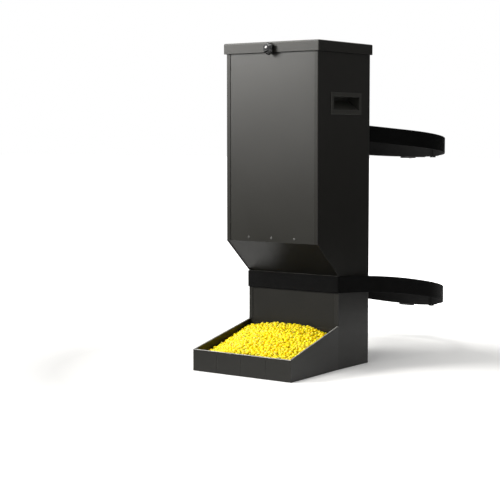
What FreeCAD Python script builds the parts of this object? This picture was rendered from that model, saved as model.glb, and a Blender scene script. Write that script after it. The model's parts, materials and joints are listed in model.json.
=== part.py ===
import FreeCAD, Part
import os
from math import acos, atan2, cos, hypot, pi, radians, sin, sqrt, tan

Vector = FreeCAD.Vector

# ---------------------------------------------------------------------------
# Gravity game feeder: a sheet-steel feed bin with a hinged lid, a chute and an
# open tray, strapped to a tree trunk. Millimetres. +Z is up, -Y is the front,
# +Y points at the tree. The origin is the centre of the flat base.
# "depth" is measured forward from the back panel's outer face, and "behind" is
# measured the other way, towards the tree.
# ---------------------------------------------------------------------------

# Body
BODY_W = 265.0            # outside width over the side panels
BIN_D = 226.0             # back panel to the bin's front
NECK_D = 135.0            # back panel to the chute's front
TRAY_D = 346.0            # back panel to the tray's front lip
SLOPE_TOP_Z = 305.0       # lower edge of the bin's front
SLOPE_BOTTOM_Z = 225.0    # top of the chute
RIM_NECK_Z = 105.0        # tray rim where it leaves the chute
RIM_FRONT_Z = 52.0        # tray rim at the front lip
TRAY_FLARE = 9.0          # how far each tray wall leans out at the front lip
NECK_BOTTOM_Z = 88.0      # lower edge of the chute's front, above the feed gap
SHEET = 1.2               # steel sheet
BEND_IN = 1.0             # inside bend radius of a folded edge
SIDE_FLANGE = 12.0        # folded edges that the back and tray front lie on
FRONT_FLANGE = 11.0       # folded edges that show on the bin's and chute's front
FLOOR_FLANGE = 10.0       # upturned edges of the tray floor
SEAM_FLANGE = 18.0        # folded edges of the sloping panel
SEAM_GAP = 0.3            # clear space left beside a folded edge
HEM = 9.0                 # folded-over safety edge
RIM_R = 2.2               # rolled rim round the tray
CREASE_W = 1.4            # pressed lines on the tray's front lip
CREASE_T = 0.5
CREASES = 3
DRAIN_R = 3.0
DRAIN_ROWS = (70.0, 130.0)   # drain holes, forward of the chute
DRAIN_PITCH = 90.0

# Feed ramp inside the chute
RAMP_TOP_Z = 118.0
RAMP_FOOT_D = 96.0
RAMP_FOOT = 12.0

# Lid
LID_TOP_Z = 777.5
LID_SKIRT = 25.0
LID_OVERHANG = 5.0        # outside of the skirt beyond the body, all round
LID_EDGE_R = 3.2
LID_CORNER_R = 2.4
SEAL_W = 9.0
SEAL_T = 6.5
SEAL_GAP = 0.3

# Lid hinge, on the back
HINGE_W = 190.0
HINGE_KNUCKLES = 5
KNUCKLE_R = 3.2
HINGE_PIN_R = 2.0
HINGE_RUN = 0.05          # radial running clearance of the pin
KNUCKLE_GAP = 0.3
LEAF_T = 1.5
LEAF_H = 17.0
LEAF_PITCH = 80.0         # between its rivets
PIN_HEAD_T = 1.5
PIN_PROUD = 1.0           # beyond the last knuckle
HINGE_STAND = 4.0         # pin centre behind the lid's back skirt
BODY_LEAF_DROP = 12.0     # crank of the body's leaf, below the pin

# Latch: a star knob on a screw
LATCH_Z = 760.5
STUD_R = 3.0
STUD_RUN = 0.05
STUD_IN = 9.0             # how far the screw reaches inside the front panel
NUT_R = 4.5
NUT_L = 9.0
NUT_FLANGE_R = 6.5
NUT_FLANGE_T = 1.0
SLOT_CLEAR = 0.8
WASHER_R = 9.0
WASHER_T = 1.5
LATCH_GAP = 0.3
KNOB_R = 14.5
KNOB_LOBES = 6
KNOB_LOBE_R = 4.0
KNOB_T = 9.0
KNOB_DOME_H = 4.5
KNOB_EDGE_R = 1.2

# Recessed carrying handles
HANDLE_Y_BACK = 39.5      # outer edge of the bezel, depth
HANDLE_L = 132.5
HANDLE_Z = 607.5
HANDLE_H = 51.5
BEZEL_W = 8.5
BEZEL_T = 1.5
CUP_WALL = 1.5
CUP_IN = 34.0
CUP_RISE = 24.0           # how far its floor climbs towards the inside
CUP_CLEAR = 0.2

# Tree and tree brackets
TRUNK_R = 190.0
STANDOFF = 35.0           # back panel to the trunk's nearest point
BRACKET_Z = (565.0, 118.0)
BRACKET_W = 190.0
BRACKET_T = 2.0
BRACKET_GAP = 46.0        # height of the strap channel
BRACKET_STAND = 14.0      # back panel to the outside of the channel
BRACKET_FOOT = 18.0
CRADLE_HALF_GAP = 15.0
CRADLE_TEETH = 6          # each side of the centre
CRADLE_TOOTH = 4.0
CRADLE_CLEAR = 0.5
BRACKET_RIVET_X = 80.0

# Straps
STRAP_W = 40.0
STRAP_T = 2.0
STRAP_CLEAR = 0.3
UPPER_STRAP_FALL = 6.2    # degrees, behind the back panel
LOWER_STRAP_Z = (204.0, 196.0, 142.0)   # its middle at the chute, the back panel and far round
LOWER_STRAP_FAR = 322.0   # where the third height is, behind
TAIL_GAP = 4.0            # between the strap and its free end, at the buckle
TAIL_ANGLES = (-5.0, 34.0)

# Cam buckles
BUCKLE_GAP = 44.0         # between the cheeks
CHEEK_T = 2.0
BUCKLE_BASE_L = 46.0
CHEEK_L = 24.0
CHEEK_H = 18.0
CAM_PIN_R = 2.5
CAM_RUN = 0.05
CAM_HEAD_R = 4.0
CAM_HEAD_T = 1.2
CAM_R = 6.0
CAM_TOOTH_R = 7.6
CAM_TEETH = (-24, 0, 24)  # degrees from straight at the strap
CAM_TOOTH_HALF = 0.2      # radians, at its root
CAM_STRAP_GAP = 0.4
LEVER_L = 46.0
LEVER_T = 2.5
SPRING_R = 4.4
SPRING_L = 9.0
SPRING_PIN_GAP = 0.1
SPRING_SIDE_GAP = 0.6
SPRING_END_GAP = 0.5
KEEPER_L = 12.0
KEEPER_T = 0.8
KEEPER_ANGLE = 27.0
KEEPER_SLACK = 2.2        # above and below the strap, which falls as it goes round

# Rivets
RIVET_R = 1.6
RIVET_HEAD_R = 3.0
RIVET_HEAD_T = 1.0
DRILL = 30.0              # how far each side of its point a drill reaches
FRONT_RIVET_Z = 10.0      # above the bin front's lower edge

# ------------------------------------------------------------ derived values
BACK_Y = TRAY_D / 2
HALF = BODY_W / 2
INNER = HALF - SHEET
LID_BOTTOM_Z = LID_TOP_Z - LID_SKIRT
BIN_TOP = LID_TOP_Z - SHEET - SEAL_T - SEAL_GAP
PIN_BEHIND = LID_OVERHANG + HINGE_STAND
PIN_Z = LID_BOTTOM_Z
TRUNK_BEHIND = STANDOFF + TRUNK_R
FRONT_FACE_D = BIN_D - SHEET          # outer face of the front panel
SKIRT_D = BIN_D + LID_OVERHANG        # outer face of the lid's front skirt
FAR = 2000.0


# ------------------------------------------------------------------- helpers
def y_at(depth):
    """The Y of a depth in front of the back panel's outer face."""
    return BACK_Y - depth


def box(x0, x1, depth0, depth1, z0, z1):
    """A block between two X, two depths and two heights."""
    corner = Vector(min(x0, x1), y_at(max(depth0, depth1)), min(z0, z1))
    return Part.makeBox(abs(x1 - x0), abs(depth1 - depth0), abs(z1 - z0), corner)


def side_prism(points, x0, x1):
    """A (depth, z) outline, pushed across from x0 to x1."""
    ring = [Vector(x0, y_at(d), z) for d, z in points]
    return Part.Face(Part.makePolygon(ring + ring[:1])).extrude(Vector(x1 - x0, 0, 0))


def plan_prism(points, z0, z1):
    """An (x, depth) outline, pushed up from z0 to z1."""
    ring = [Vector(x, y_at(d), z0) for x, d in points]
    return Part.Face(Part.makePolygon(ring + ring[:1])).extrude(Vector(0, 0, z1 - z0))


def thick_line(points, thickness):
    """An outline round a (depth, z) line, thickened to its left, with mitred bends."""
    normals = []
    for (d0, z0), (d1, z1) in zip(points, points[1:]):
        length = hypot(d1 - d0, z1 - z0)
        normals.append((-(z1 - z0) / length, (d1 - d0) / length))
    offset = []
    for i, (d, z) in enumerate(points):
        before = normals[max(i - 1, 0)]
        after = normals[min(i, len(normals) - 1)]
        reach = thickness / (1 + before[0] * after[0] + before[1] * after[1])
        offset.append((d + (before[0] + after[0]) * reach, z + (before[1] + after[1]) * reach))
    return points + offset[::-1]


def rod(radius, start, direction, length):
    return Part.makeCylinder(radius, length, start, direction)


def mirror_x(shape):
    return shape.mirror(Vector(0, 0, 0), Vector(1, 0, 0))


def fuse(shapes):
    """One solid from several that meet."""
    whole = shapes[0].multiFuse(shapes[1:]).removeSplitter()
    return whole.Solids[0] if len(whole.Solids) == 1 else whole


def round_edges(shape, radius, wanted):
    edges = [e for e in shape.Edges if wanted(e)]
    return shape.makeFillet(radius, edges)


def upright_at(x, depth):
    """Picks the vertical edges at one corner in plan."""
    def wanted(edge):
        ends = [v.Point for v in edge.Vertexes]
        return len(ends) == 2 and all(
            abs(p.x - x) < 1e-4 and abs(p.y - y_at(depth)) < 1e-4 for p in ends)
    return wanted


def rivet(point, outward, grip):
    """A blind rivet through sheets of one total thickness: shank, head and set end."""
    inward = outward * -1
    head = rod(RIVET_HEAD_R, point, outward, RIVET_HEAD_T)
    rim = [e for e in head.Edges if (e.CenterOfMass - point).Length > RIVET_HEAD_T / 2]
    head = head.makeFillet(RIVET_HEAD_T * 0.8, [e for e in rim if len(e.Vertexes) == 1])
    shank = rod(RIVET_R, point, inward, grip)
    tail = rod(RIVET_R * 1.5, point + inward * grip, inward, RIVET_HEAD_T)
    return fuse([head, shank, tail])


def drilled(shape, points, direction, radius=RIVET_R):
    """The shape with a hole through it at each point."""
    for point in points:
        shape = shape.cut(rod(radius, point - direction * DRILL, direction, 2 * DRILL))
    return shape


def save(name, shape):
    solids = shape.Solids
    shape = solids[0] if len(solids) == 1 else Part.makeCompound(solids)
    shape.exportStep("parts/" + name + ".step")
    box_ = shape.BoundBox
    print(f"{name:22s} {len(solids):2d} solids {shape.Volume / 1000:8.2f} cm3 "
          f"y {box_.YMin:7.1f} {box_.YMax:7.1f} z {box_.ZMin:6.1f} {box_.ZMax:6.1f}"
          + ("" if shape.isValid() else "  INVALID"))


FORWARD = Vector(0, -1, 0)
BACKWARD = Vector(0, 1, 0)
ACROSS = Vector(1, 0, 0)
UP = Vector(0, 0, 1)


# -------------------------------------------------------------- fixing points
def front_rivet_points():
    return [Vector(x, y_at(FRONT_FACE_D), SLOPE_TOP_Z + FRONT_RIVET_Z)
            for x in (-BODY_W / 4, 0, BODY_W / 4)]


def bracket_rivet_points():
    reach = BRACKET_GAP / 2 + BRACKET_T + BRACKET_FOOT / 2
    return [Vector(x, y_at(-BRACKET_T), z + dz) for z in BRACKET_Z
            for x in (-BRACKET_RIVET_X, BRACKET_RIVET_X) for dz in (-reach, reach)]


def lid_leaf_points():
    z = PIN_Z + KNUCKLE_R + (LEAF_H - KNUCKLE_R) / 2
    return [Vector(x, y_at(-LID_OVERHANG - LEAF_T), z) for x in (-LEAF_PITCH, 0, LEAF_PITCH)]


def body_leaf_points():
    z = PIN_Z - BODY_LEAF_DROP - LEAF_H / 2
    return [Vector(x, y_at(-LEAF_T), z) for x in (-LEAF_PITCH, 0, LEAF_PITCH)]


def ramp_rivet_points():
    return [Vector(x, y_at(0), RAMP_TOP_Z + RAMP_FOOT / 2) for x in (-LEAF_PITCH, LEAF_PITCH)]


def handle_window():
    """The side panels' cut-out for a handle cup: depths and heights."""
    grow = CUP_CLEAR - BEZEL_W
    return (HANDLE_Y_BACK - grow, HANDLE_Y_BACK + HANDLE_L + grow,
            HANDLE_Z - grow, HANDLE_Z + HANDLE_H + grow)


# --------------------------------------------------------------- sheet panels
def folded_edge(depth, z0, z1, width):
    """An upright edge of the right side panel folded inwards, with its front at a depth."""
    edge = box(HALF - width, HALF, depth - SHEET, depth, z0, z1)
    wall = box(HALF - SHEET, HALF, depth - width, depth, z0, z1)
    whole = fuse([edge, wall])
    whole = round_edges(whole, BEND_IN, upright_at(HALF - SHEET, depth - SHEET))
    return round_edges(whole, BEND_IN + SHEET, upright_at(HALF, depth))


def rim_height(depth):
    share = (depth - NECK_D) / (TRAY_D - NECK_D)
    return RIM_NECK_Z + (RIM_FRONT_Z - RIM_NECK_Z) * share


def tray_wall():
    """The right tray wall, leaning out to the front, with its rolled rim."""
    end = TRAY_D - SHEET
    flare = TRAY_FLARE * (end - NECK_D) / (TRAY_D - NECK_D)
    sheet = plan_prism([(HALF, NECK_D), (HALF + flare, end), (HALF + flare - SHEET, end),
                        (HALF - SHEET, NECK_D)], 0, RIM_NECK_Z)
    below = side_prism([(NECK_D, 0), (NECK_D, rim_height(NECK_D) - RIM_R),
                        (TRAY_D, rim_height(TRAY_D) - RIM_R), (TRAY_D, 0)], 0, FAR)
    start_d = NECK_D + 1
    start = Vector(HALF - RIM_R, y_at(start_d), rim_height(start_d) - RIM_R)
    finish = Vector(HALF + TRAY_FLARE - RIM_R, y_at(TRAY_D), RIM_FRONT_Z - RIM_R)
    roll = rod(RIM_R, start, finish - start, (finish - start).Length)
    inner = HALF + TRAY_FLARE - SHEET
    fold = box(inner - SIDE_FLANGE, inner, TRAY_D - 2 * SHEET, end, SHEET + SEAM_GAP,
               RIM_FRONT_Z - 2 * RIM_R - SEAM_GAP)
    front_roll = box(0, FAR, TRAY_D - 2 * RIM_R, TRAY_D + RIM_R, RIM_FRONT_Z - 2 * RIM_R, FAR)
    return fuse([fuse([sheet.common(below), roll]).cut(front_roll), fold])


def side_panel():
    """The right side: one sheet from the lid down to the tray's front lip."""
    inside_bin = BIN_D - SIDE_FLANGE / 2
    outline = [(SHEET, 0), (NECK_D, 0), (NECK_D, RIM_NECK_Z), (NECK_D - SHEET, RIM_NECK_Z),
               (NECK_D - SHEET, SLOPE_BOTTOM_Z), (NECK_D, SLOPE_BOTTOM_Z),
               (inside_bin, SLOPE_TOP_Z - (BIN_D - inside_bin) * slope_rate()),
               (BIN_D, SLOPE_TOP_Z), (inside_bin, SLOPE_TOP_Z), (inside_bin, BIN_TOP),
               (SHEET, BIN_TOP)]
    sheet = side_prism(outline, HALF - SHEET, HALF)
    bin_edge = folded_edge(BIN_D, SLOPE_TOP_Z, BIN_TOP, FRONT_FLANGE)
    neck_edge = folded_edge(NECK_D, RIM_NECK_Z, SLOPE_BOTTOM_Z - SEAM_GAP, FRONT_FLANGE)
    back_edge = box(INNER - SIDE_FLANGE, INNER, SHEET, 2 * SHEET, FLOOR_FLANGE + SHEET + SEAM_GAP,
                    BIN_TOP)
    window = handle_window()
    opening = box(HALF - 2 * SHEET, HALF + SHEET, *window)
    return fuse([sheet, bin_edge, neck_edge, back_edge, tray_wall()]).cut(opening)


def slope_rate():
    return (SLOPE_TOP_Z - SLOPE_BOTTOM_Z) / (BIN_D - NECK_D)


def back_panel():
    panel = box(-HALF, HALF, 0, SHEET, 0, BIN_TOP)
    holes = bracket_rivet_points() + body_leaf_points() + ramp_rivet_points()
    return drilled(panel, holes, BACKWARD)


def front_panel():
    """Lies behind the side panels' folded edges. Its top is folded over."""
    wide = INNER - BEND_IN - SEAM_GAP
    face = box(-wide, wide, FRONT_FACE_D - SHEET, FRONT_FACE_D, SLOPE_TOP_Z, BIN_TOP)
    hem_wide = HALF - FRONT_FLANGE - SEAM_GAP
    hem = box(-hem_wide, hem_wide, FRONT_FACE_D - 2 * SHEET, FRONT_FACE_D - SHEET,
              BIN_TOP - 2 * HEM, BIN_TOP)
    panel = drilled(fuse([face, hem]), front_rivet_points(), BACKWARD)
    return drilled(panel, [Vector(0, y_at(FRONT_FACE_D), LATCH_Z)], BACKWARD, NUT_R)


def slope_panel():
    """The sloping underside, folded up behind the front and down behind the chute."""
    top_d = FRONT_FACE_D - SHEET
    bottom_d = NECK_D - 2 * SHEET
    line = [(top_d, SLOPE_TOP_Z + SEAM_FLANGE), (top_d, SLOPE_TOP_Z),
            (bottom_d, SLOPE_BOTTOM_Z), (bottom_d, SLOPE_BOTTOM_Z - SEAM_FLANGE)]
    folds = side_prism(thick_line(line[::-1], SHEET), -INNER + SIDE_FLANGE, INNER - SIDE_FLANGE)
    middle = side_prism(thick_line(line[1:3][::-1], SHEET), -INNER, INNER)
    return drilled(fuse([folds, middle]), front_rivet_points(), BACKWARD)


def neck_panel():
    """The chute's front, down to the feed gap, with a folded lower edge."""
    wide = INNER - BEND_IN - SEAM_GAP
    face_d = NECK_D - SHEET
    face = box(-wide, wide, face_d - SHEET, face_d, NECK_BOTTOM_Z, SLOPE_BOTTOM_Z - SEAM_GAP)
    hem_wide = HALF - FRONT_FLANGE - SEAM_GAP
    hem = box(-hem_wide, hem_wide, face_d, face_d + SHEET, NECK_BOTTOM_Z, NECK_BOTTOM_Z + HEM)
    return fuse([face, hem])


def tray_front():
    wide = HALF + TRAY_FLARE
    face = box(-wide, wide, TRAY_D - SHEET, TRAY_D, 0, RIM_FRONT_Z - RIM_R)
    roll = rod(RIM_R, Vector(-wide, y_at(TRAY_D - RIM_R), RIM_FRONT_Z - RIM_R), ACROSS, 2 * wide)
    lip = fuse([face, roll])
    pitch = 2 * wide / (CREASES + 1)
    for i in range(CREASES):
        x = -wide + pitch * (i + 1)
        lip = lip.cut(box(x - CREASE_W / 2, x + CREASE_W / 2, TRAY_D - CREASE_T, TRAY_D + SHEET,
                          -SHEET, RIM_FRONT_Z - 2 * RIM_R))
    return lip


def drain_holes():
    return [Vector(x, y_at(NECK_D + d), 0) for d in DRAIN_ROWS
            for x in (-DRAIN_PITCH, 0, DRAIN_PITCH)]


def tray_floor():
    """A shallow pan that closes the chute and the tray from below."""
    front_d = TRAY_D - SHEET
    front_half = INNER + TRAY_FLARE * (front_d - NECK_D) / (TRAY_D - NECK_D)
    right = [(INNER, SHEET), (INNER, NECK_D), (front_half, front_d)]
    outline = right + [(-x, d) for x, d in right[::-1]]
    pan = plan_prism(outline, 0, SHEET)
    stop_d = front_d - SHEET - SEAM_GAP
    stop_half = INNER + TRAY_FLARE * (stop_d - NECK_D) / (TRAY_D - NECK_D)
    edge = [(INNER, 2 * SHEET + SEAM_GAP), (INNER, NECK_D), (stop_half, stop_d)]
    upturn = plan_prism(edge + [(x - SHEET, d) for x, d in edge[::-1]], SHEET,
                        SHEET + FLOOR_FLANGE)
    back_half = INNER - SHEET
    back = box(-back_half, back_half, SHEET, 2 * SHEET, SHEET, SHEET + FLOOR_FLANGE)
    lip_half = INNER - SIDE_FLANGE
    front = box(-lip_half, lip_half, front_d - SHEET, front_d, SHEET, SHEET + FLOOR_FLANGE)
    whole = fuse([pan, upturn, mirror_x(upturn), back, front])
    return drilled(whole, drain_holes(), UP, DRAIN_R)


def feed_ramp():
    """Carries the feed forward from the foot of the back panel."""
    half = INNER - SHEET - SEAM_GAP
    upstand_half = INNER - SIDE_FLANGE - SEAM_GAP
    start_d = 2 * SHEET + SEAM_GAP
    line = [(start_d, RAMP_TOP_Z), (RAMP_FOOT_D, SHEET), (RAMP_FOOT_D + RAMP_FOOT, SHEET)]
    plate = side_prism(thick_line(line[::-1], -SHEET), -half, half)
    upstand = side_prism(thick_line([(SHEET, RAMP_TOP_Z + RAMP_FOOT), (SHEET, RAMP_TOP_Z),
                                     (start_d + SHEET, RAMP_TOP_Z - SHEET)][::-1], -SHEET),
                         -upstand_half, upstand_half)
    return drilled(fuse([plate, upstand]), ramp_rivet_points(), BACKWARD)


# ------------------------------------------------------------------------ lid
def lid_outline(inset):
    """The lid's side view, drawn in by a sheet thickness."""
    front = SKIRT_D - inset
    back = -LID_OVERHANG + inset
    bottom = LID_BOTTOM_Z - (SHEET if inset else 0)
    top = LID_TOP_Z - inset
    return [(front, bottom), (front, top), (back, top), (back, bottom)]


def lid_block(inset, edge_r, corner_r):
    half = HALF + LID_OVERHANG - inset
    block = side_prism(lid_outline(inset), -half, half)

    def corner(edge):
        ends = [v.Point for v in edge.Vertexes]
        return hypot(ends[0].x - ends[1].x, ends[0].y - ends[1].y) < 1e-4

    block = round_edges(block, corner_r, corner)
    if edge_r:
        block = round_edges(block, edge_r, lambda e: e.BoundBox.ZMin > LID_BOTTOM_Z + LID_SKIRT / 2)
    return block


def lid():
    shell = lid_block(0, LID_EDGE_R, LID_CORNER_R).cut(
        lid_block(SHEET, LID_EDGE_R - SHEET, LID_CORNER_R - SHEET))
    slot_r = STUD_R + SLOT_CLEAR
    slot_front, slot_back = SKIRT_D + SHEET, SKIRT_D - 2 * SHEET
    slot = box(-slot_r, slot_r, slot_back, slot_front, LID_BOTTOM_Z - SHEET, LATCH_Z)
    crown = rod(slot_r, Vector(0, y_at(slot_front), LATCH_Z), BACKWARD, slot_front - slot_back)
    return drilled(shell.cut(fuse([slot, crown])), lid_leaf_points(), BACKWARD)


def lid_seal():
    """A foam strip under the lid that lands on the bin's rim."""
    out = SHEET + SEAM_GAP
    outer = box(-HALF, HALF, 0, BIN_D, BIN_TOP + SEAL_GAP, LID_TOP_Z)
    inner = box(-HALF + SEAL_W, HALF - SEAL_W, SEAL_W, BIN_D - SEAL_W, BIN_TOP - SHEET,
                LID_TOP_Z + SHEET)
    space = side_prism(lid_outline(SHEET), -HALF - out, HALF + out)
    return outer.cut(inner).common(space)


# ---------------------------------------------------------------------- hinge
def knuckle_spans(odd):
    """The lid's knuckles are the odd ones, the body's the even ones."""
    pitch = HINGE_W / HINGE_KNUCKLES
    starts = [-HINGE_W / 2 + pitch * i for i in range(HINGE_KNUCKLES) if i % 2 == odd]
    return [(x + KNUCKLE_GAP / 2, x + pitch - KNUCKLE_GAP / 2) for x in starts]


def pin_point(x):
    return Vector(x, y_at(-PIN_BEHIND), PIN_Z)


def leaf(flat, web, odd):
    """A hinge leaf: a flat with knuckles on webs, and room for the other leaf's knuckles."""
    pieces = [flat]
    for x0, x1 in knuckle_spans(odd):
        pieces.append(rod(KNUCKLE_R, pin_point(x0), ACROSS, x1 - x0))
        pieces.append(side_prism(web, x0, x1))
    bore = rod(HINGE_PIN_R + HINGE_RUN, pin_point(-HINGE_W / 2 - 1), ACROSS, HINGE_W + 2)
    return fuse(pieces).cut(bore)


def lid_hinge_leaf():
    back = -LID_OVERHANG
    clear_z = PIN_Z + KNUCKLE_R + 2 * KNUCKLE_GAP
    flat = box(-HINGE_W / 2, HINGE_W / 2, back, back - LEAF_T, clear_z, PIN_Z + LEAF_H)
    web = [(back, PIN_Z), (back, clear_z + 1), (back - LEAF_T, clear_z + 1),
           (-PIN_BEHIND, PIN_Z + KNUCKLE_R), (-PIN_BEHIND, PIN_Z)]
    return drilled(leaf(flat, web, 1), lid_leaf_points(), BACKWARD)


def body_hinge_leaf():
    top_z = PIN_Z - BODY_LEAF_DROP
    flat = box(-HINGE_W / 2, HINGE_W / 2, 0, -LEAF_T, top_z - LEAF_H, top_z)
    web = [(0, top_z - 1), (0, top_z), (-PIN_BEHIND + KNUCKLE_R - LEAF_T, PIN_Z - LEAF_T),
           (-PIN_BEHIND, PIN_Z), (-PIN_BEHIND, PIN_Z - KNUCKLE_R), (-LEAF_T, top_z - 1)]
    return drilled(leaf(flat, web, 0), body_leaf_points(), BACKWARD)


def hinge_pin():
    start = pin_point(-HINGE_W / 2 - PIN_HEAD_T)
    head = rod(KNUCKLE_R, start, ACROSS, PIN_HEAD_T - KNUCKLE_GAP)
    return fuse([rod(HINGE_PIN_R, start, ACROSS, HINGE_W + PIN_HEAD_T + PIN_PROUD), head])


# ---------------------------------------------------------------------- latch
def latch_point(depth):
    return Vector(0, y_at(depth), LATCH_Z)


def latch_nut():
    body = rod(NUT_R, latch_point(FRONT_FACE_D - NUT_L), FORWARD, NUT_L)
    flange = rod(NUT_FLANGE_R, latch_point(FRONT_FACE_D), FORWARD, NUT_FLANGE_T)
    bore = rod(STUD_R + STUD_RUN, latch_point(FRONT_FACE_D - NUT_L - 1), FORWARD, NUT_L + 5)
    return fuse([body, flange]).cut(bore)


def washer_depth():
    return SKIRT_D + LATCH_GAP


def knob_depth():
    return washer_depth() + WASHER_T + LATCH_GAP / 3


def latch_washer():
    disc = rod(WASHER_R, latch_point(washer_depth()), FORWARD, WASHER_T)
    return disc.cut(rod(STUD_R + STUD_RUN, latch_point(washer_depth() - 1), FORWARD, WASHER_T + 2))


def latch_stud():
    start = FRONT_FACE_D - STUD_IN
    return rod(STUD_R, latch_point(start), FORWARD, knob_depth() + KNOB_T / 2 - start)


def latch_knob():
    """A lobed knob with a domed face."""
    depth = knob_depth()
    grip = rod(KNOB_R - KNOB_LOBE_R / 2, latch_point(depth), FORWARD, KNOB_T)
    lobes = []
    for i in range(KNOB_LOBES):
        angle = 2 * pi * i / KNOB_LOBES + pi / 2
        reach = KNOB_R - KNOB_LOBE_R
        centre = latch_point(depth) + Vector(reach * cos(angle), 0, reach * sin(angle))
        lobes.append(rod(KNOB_LOBE_R, centre, FORWARD, KNOB_T))
    body = fuse([grip] + lobes)
    body = round_edges(body, KNOB_EDGE_R, lambda e: abs(e.BoundBox.YMin - y_at(depth + KNOB_T)) < 0.05
                       and abs(e.BoundBox.YMax - e.BoundBox.YMin) < 0.05)
    dome_rim = KNOB_R - KNOB_LOBE_R
    ball_r = (dome_rim ** 2 + KNOB_DOME_H ** 2) / (2 * KNOB_DOME_H)
    ball = Part.makeSphere(ball_r, latch_point(depth + KNOB_T + KNOB_DOME_H - ball_r))
    cap = ball.common(rod(dome_rim, latch_point(depth + KNOB_T / 2), FORWARD, FAR))
    bore = rod(STUD_R, latch_point(depth - 1), FORWARD, KNOB_T / 2 + 1)
    return fuse([body, cap]).cut(bore)


# -------------------------------------------------------------------- handles
def handle_cup():
    """The right handle: a pocket whose floor climbs inwards, in a raised bezel."""
    d0, d1, z0, z1 = handle_window()
    d0, d1 = d0 + CUP_CLEAR, d1 - CUP_CLEAR
    z0, z1 = z0 + CUP_CLEAR, z1 - CUP_CLEAR
    face = HALF + BEZEL_T

    def pocket(wall, x_out):
        """The pocket's block, drawn in by a wall thickness."""
        inside = HALF - CUP_IN + wall
        ring = [Vector(x, y_at(d0 + wall), z) for x, z in (
            (x_out, z0 + wall), (HALF, z0 + wall), (inside, z0 + CUP_RISE + wall),
            (inside, z1 - wall), (x_out, z1 - wall))]
        sheet = Part.Face(Part.makePolygon(ring + ring[:1]))
        return sheet.extrude(Vector(0, -(d1 - d0 - 2 * wall), 0))

    bezel = box(HALF, face, HANDLE_Y_BACK, HANDLE_Y_BACK + HANDLE_L, HANDLE_Z, HANDLE_Z + HANDLE_H)
    bezel = round_edges(bezel, BEZEL_T * 0.6, lambda e: e.BoundBox.XMin > face - 1e-4)
    return fuse([pocket(0, HALF + BEZEL_T / 2), bezel]).cut(pocket(CUP_WALL, face + 1))


# ------------------------------------------------------------------- brackets
def trunk_behind(x):
    """How far behind the back panel the trunk's surface is at one X."""
    return TRUNK_BEHIND - sqrt(TRUNK_R ** 2 - x ** 2)


def cradle():
    """A toothed plate that bites the trunk, outlined in (x, depth)."""
    half = BRACKET_W / 2
    pitch = half / CRADLE_TEETH
    edge = []
    for i in range(-CRADLE_TEETH, CRADLE_TEETH + 1):
        x = pitch * i
        edge.append((x, -(trunk_behind(x) - CRADLE_CLEAR)))
        if i < CRADLE_TEETH:
            root = x + pitch / 2
            edge.append((root, -(trunk_behind(root) - CRADLE_CLEAR - CRADLE_TOOTH)))
    return [(half, -BRACKET_STAND), (-half, -BRACKET_STAND)] + edge


def tree_bracket(z):
    """A strap channel on the back panel, with two toothed plates behind it."""
    half = BRACKET_W / 2
    gap = BRACKET_GAP / 2
    pieces = [box(-half, half, -BRACKET_STAND + BRACKET_T, -BRACKET_STAND, z - gap - BRACKET_T,
                  z + gap + BRACKET_T)]
    for side in (-1, 1):
        pieces.append(box(-half, half, 0, -BRACKET_STAND, z + side * gap,
                          z + side * (gap + BRACKET_T)))
        pieces.append(box(-half, half, 0, -BRACKET_T, z + side * gap,
                          z + side * (gap + BRACKET_T + BRACKET_FOOT)))
        middle = z + side * CRADLE_HALF_GAP
        pieces.append(plan_prism(cradle(), middle - BRACKET_T / 2, middle + BRACKET_T / 2))
    return drilled(fuse(pieces), bracket_rivet_points(), BACKWARD)


# --------------------------------------------------------------------- straps
def loop_wire(corner_x, corner_behind, radius):
    """A plan line: straight across the front, then tangent to a circle round the trunk."""
    dx, dy = corner_x, corner_behind - TRUNK_BEHIND
    reach = hypot(dx, dy)
    angle = atan2(dy, dx) + acos(radius / reach)
    touch = (radius * cos(angle), TRUNK_BEHIND + radius * sin(angle))
    right, left = Vector(corner_x, y_at(-corner_behind), 0), Vector(-corner_x, y_at(-corner_behind), 0)
    on_right, on_left = Vector(touch[0], y_at(-touch[1]), 0), Vector(-touch[0], y_at(-touch[1]), 0)
    far = Vector(0, y_at(-TRUNK_BEHIND - radius), 0)
    return Part.Wire([Part.LineSegment(left, right).toShape(),
                      Part.LineSegment(right, on_right).toShape(),
                      Part.Arc(on_right, far, on_left).toShape(),
                      Part.LineSegment(on_left, left).toShape()])


def band(wire, slab):
    """A strap's thickness outside a plan line, between a slab's lower and upper faces."""
    ring = Part.Face(wire.makeOffset2D(STRAP_T)).cut(Part.Face(wire))
    return ring.extrude(Vector(0, 0, LID_TOP_Z)).common(slab)


def upper_slab():
    """Level in the bracket's channel, then falling behind it."""
    middle = BRACKET_Z[0]
    kink = -BRACKET_STAND
    far = -2 * TRUNK_BEHIND
    drop = (kink - far) * tan(radians(UPPER_STRAP_FALL))
    return [(BIN_D, middle), (kink, middle), (far, middle - drop)]


def slab_from_line(line):
    up = [(d, z + STRAP_W / 2) for d, z in line]
    down = [(d, z - STRAP_W / 2) for d, z in line[::-1]]
    return side_prism(up + down, -2 * TRUNK_R, 2 * TRUNK_R)


def lower_strap_arc(rise):
    """The lower strap's edge in side view, one smooth arc, continued past both ends."""
    z_front, z_back, z_far = LOWER_STRAP_Z
    points = [Vector(0, y_at(d), z + rise)
              for d, z in ((NECK_D, z_front), (0, z_back), (-LOWER_STRAP_FAR, z_far))]
    circle = Part.Arc(*points).toShape().Curve
    ends = []
    for y in (y_at(NECK_D + STRAP_T * 4), y_at(-2 * TRUNK_BEHIND)):
        down = sqrt(circle.Radius ** 2 - (y - circle.Center.y) ** 2)
        ends.append(Vector(0, y, circle.Center.z + down))
    return Part.Arc(ends[0], points[1], ends[1]).toShape(), ends


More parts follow.
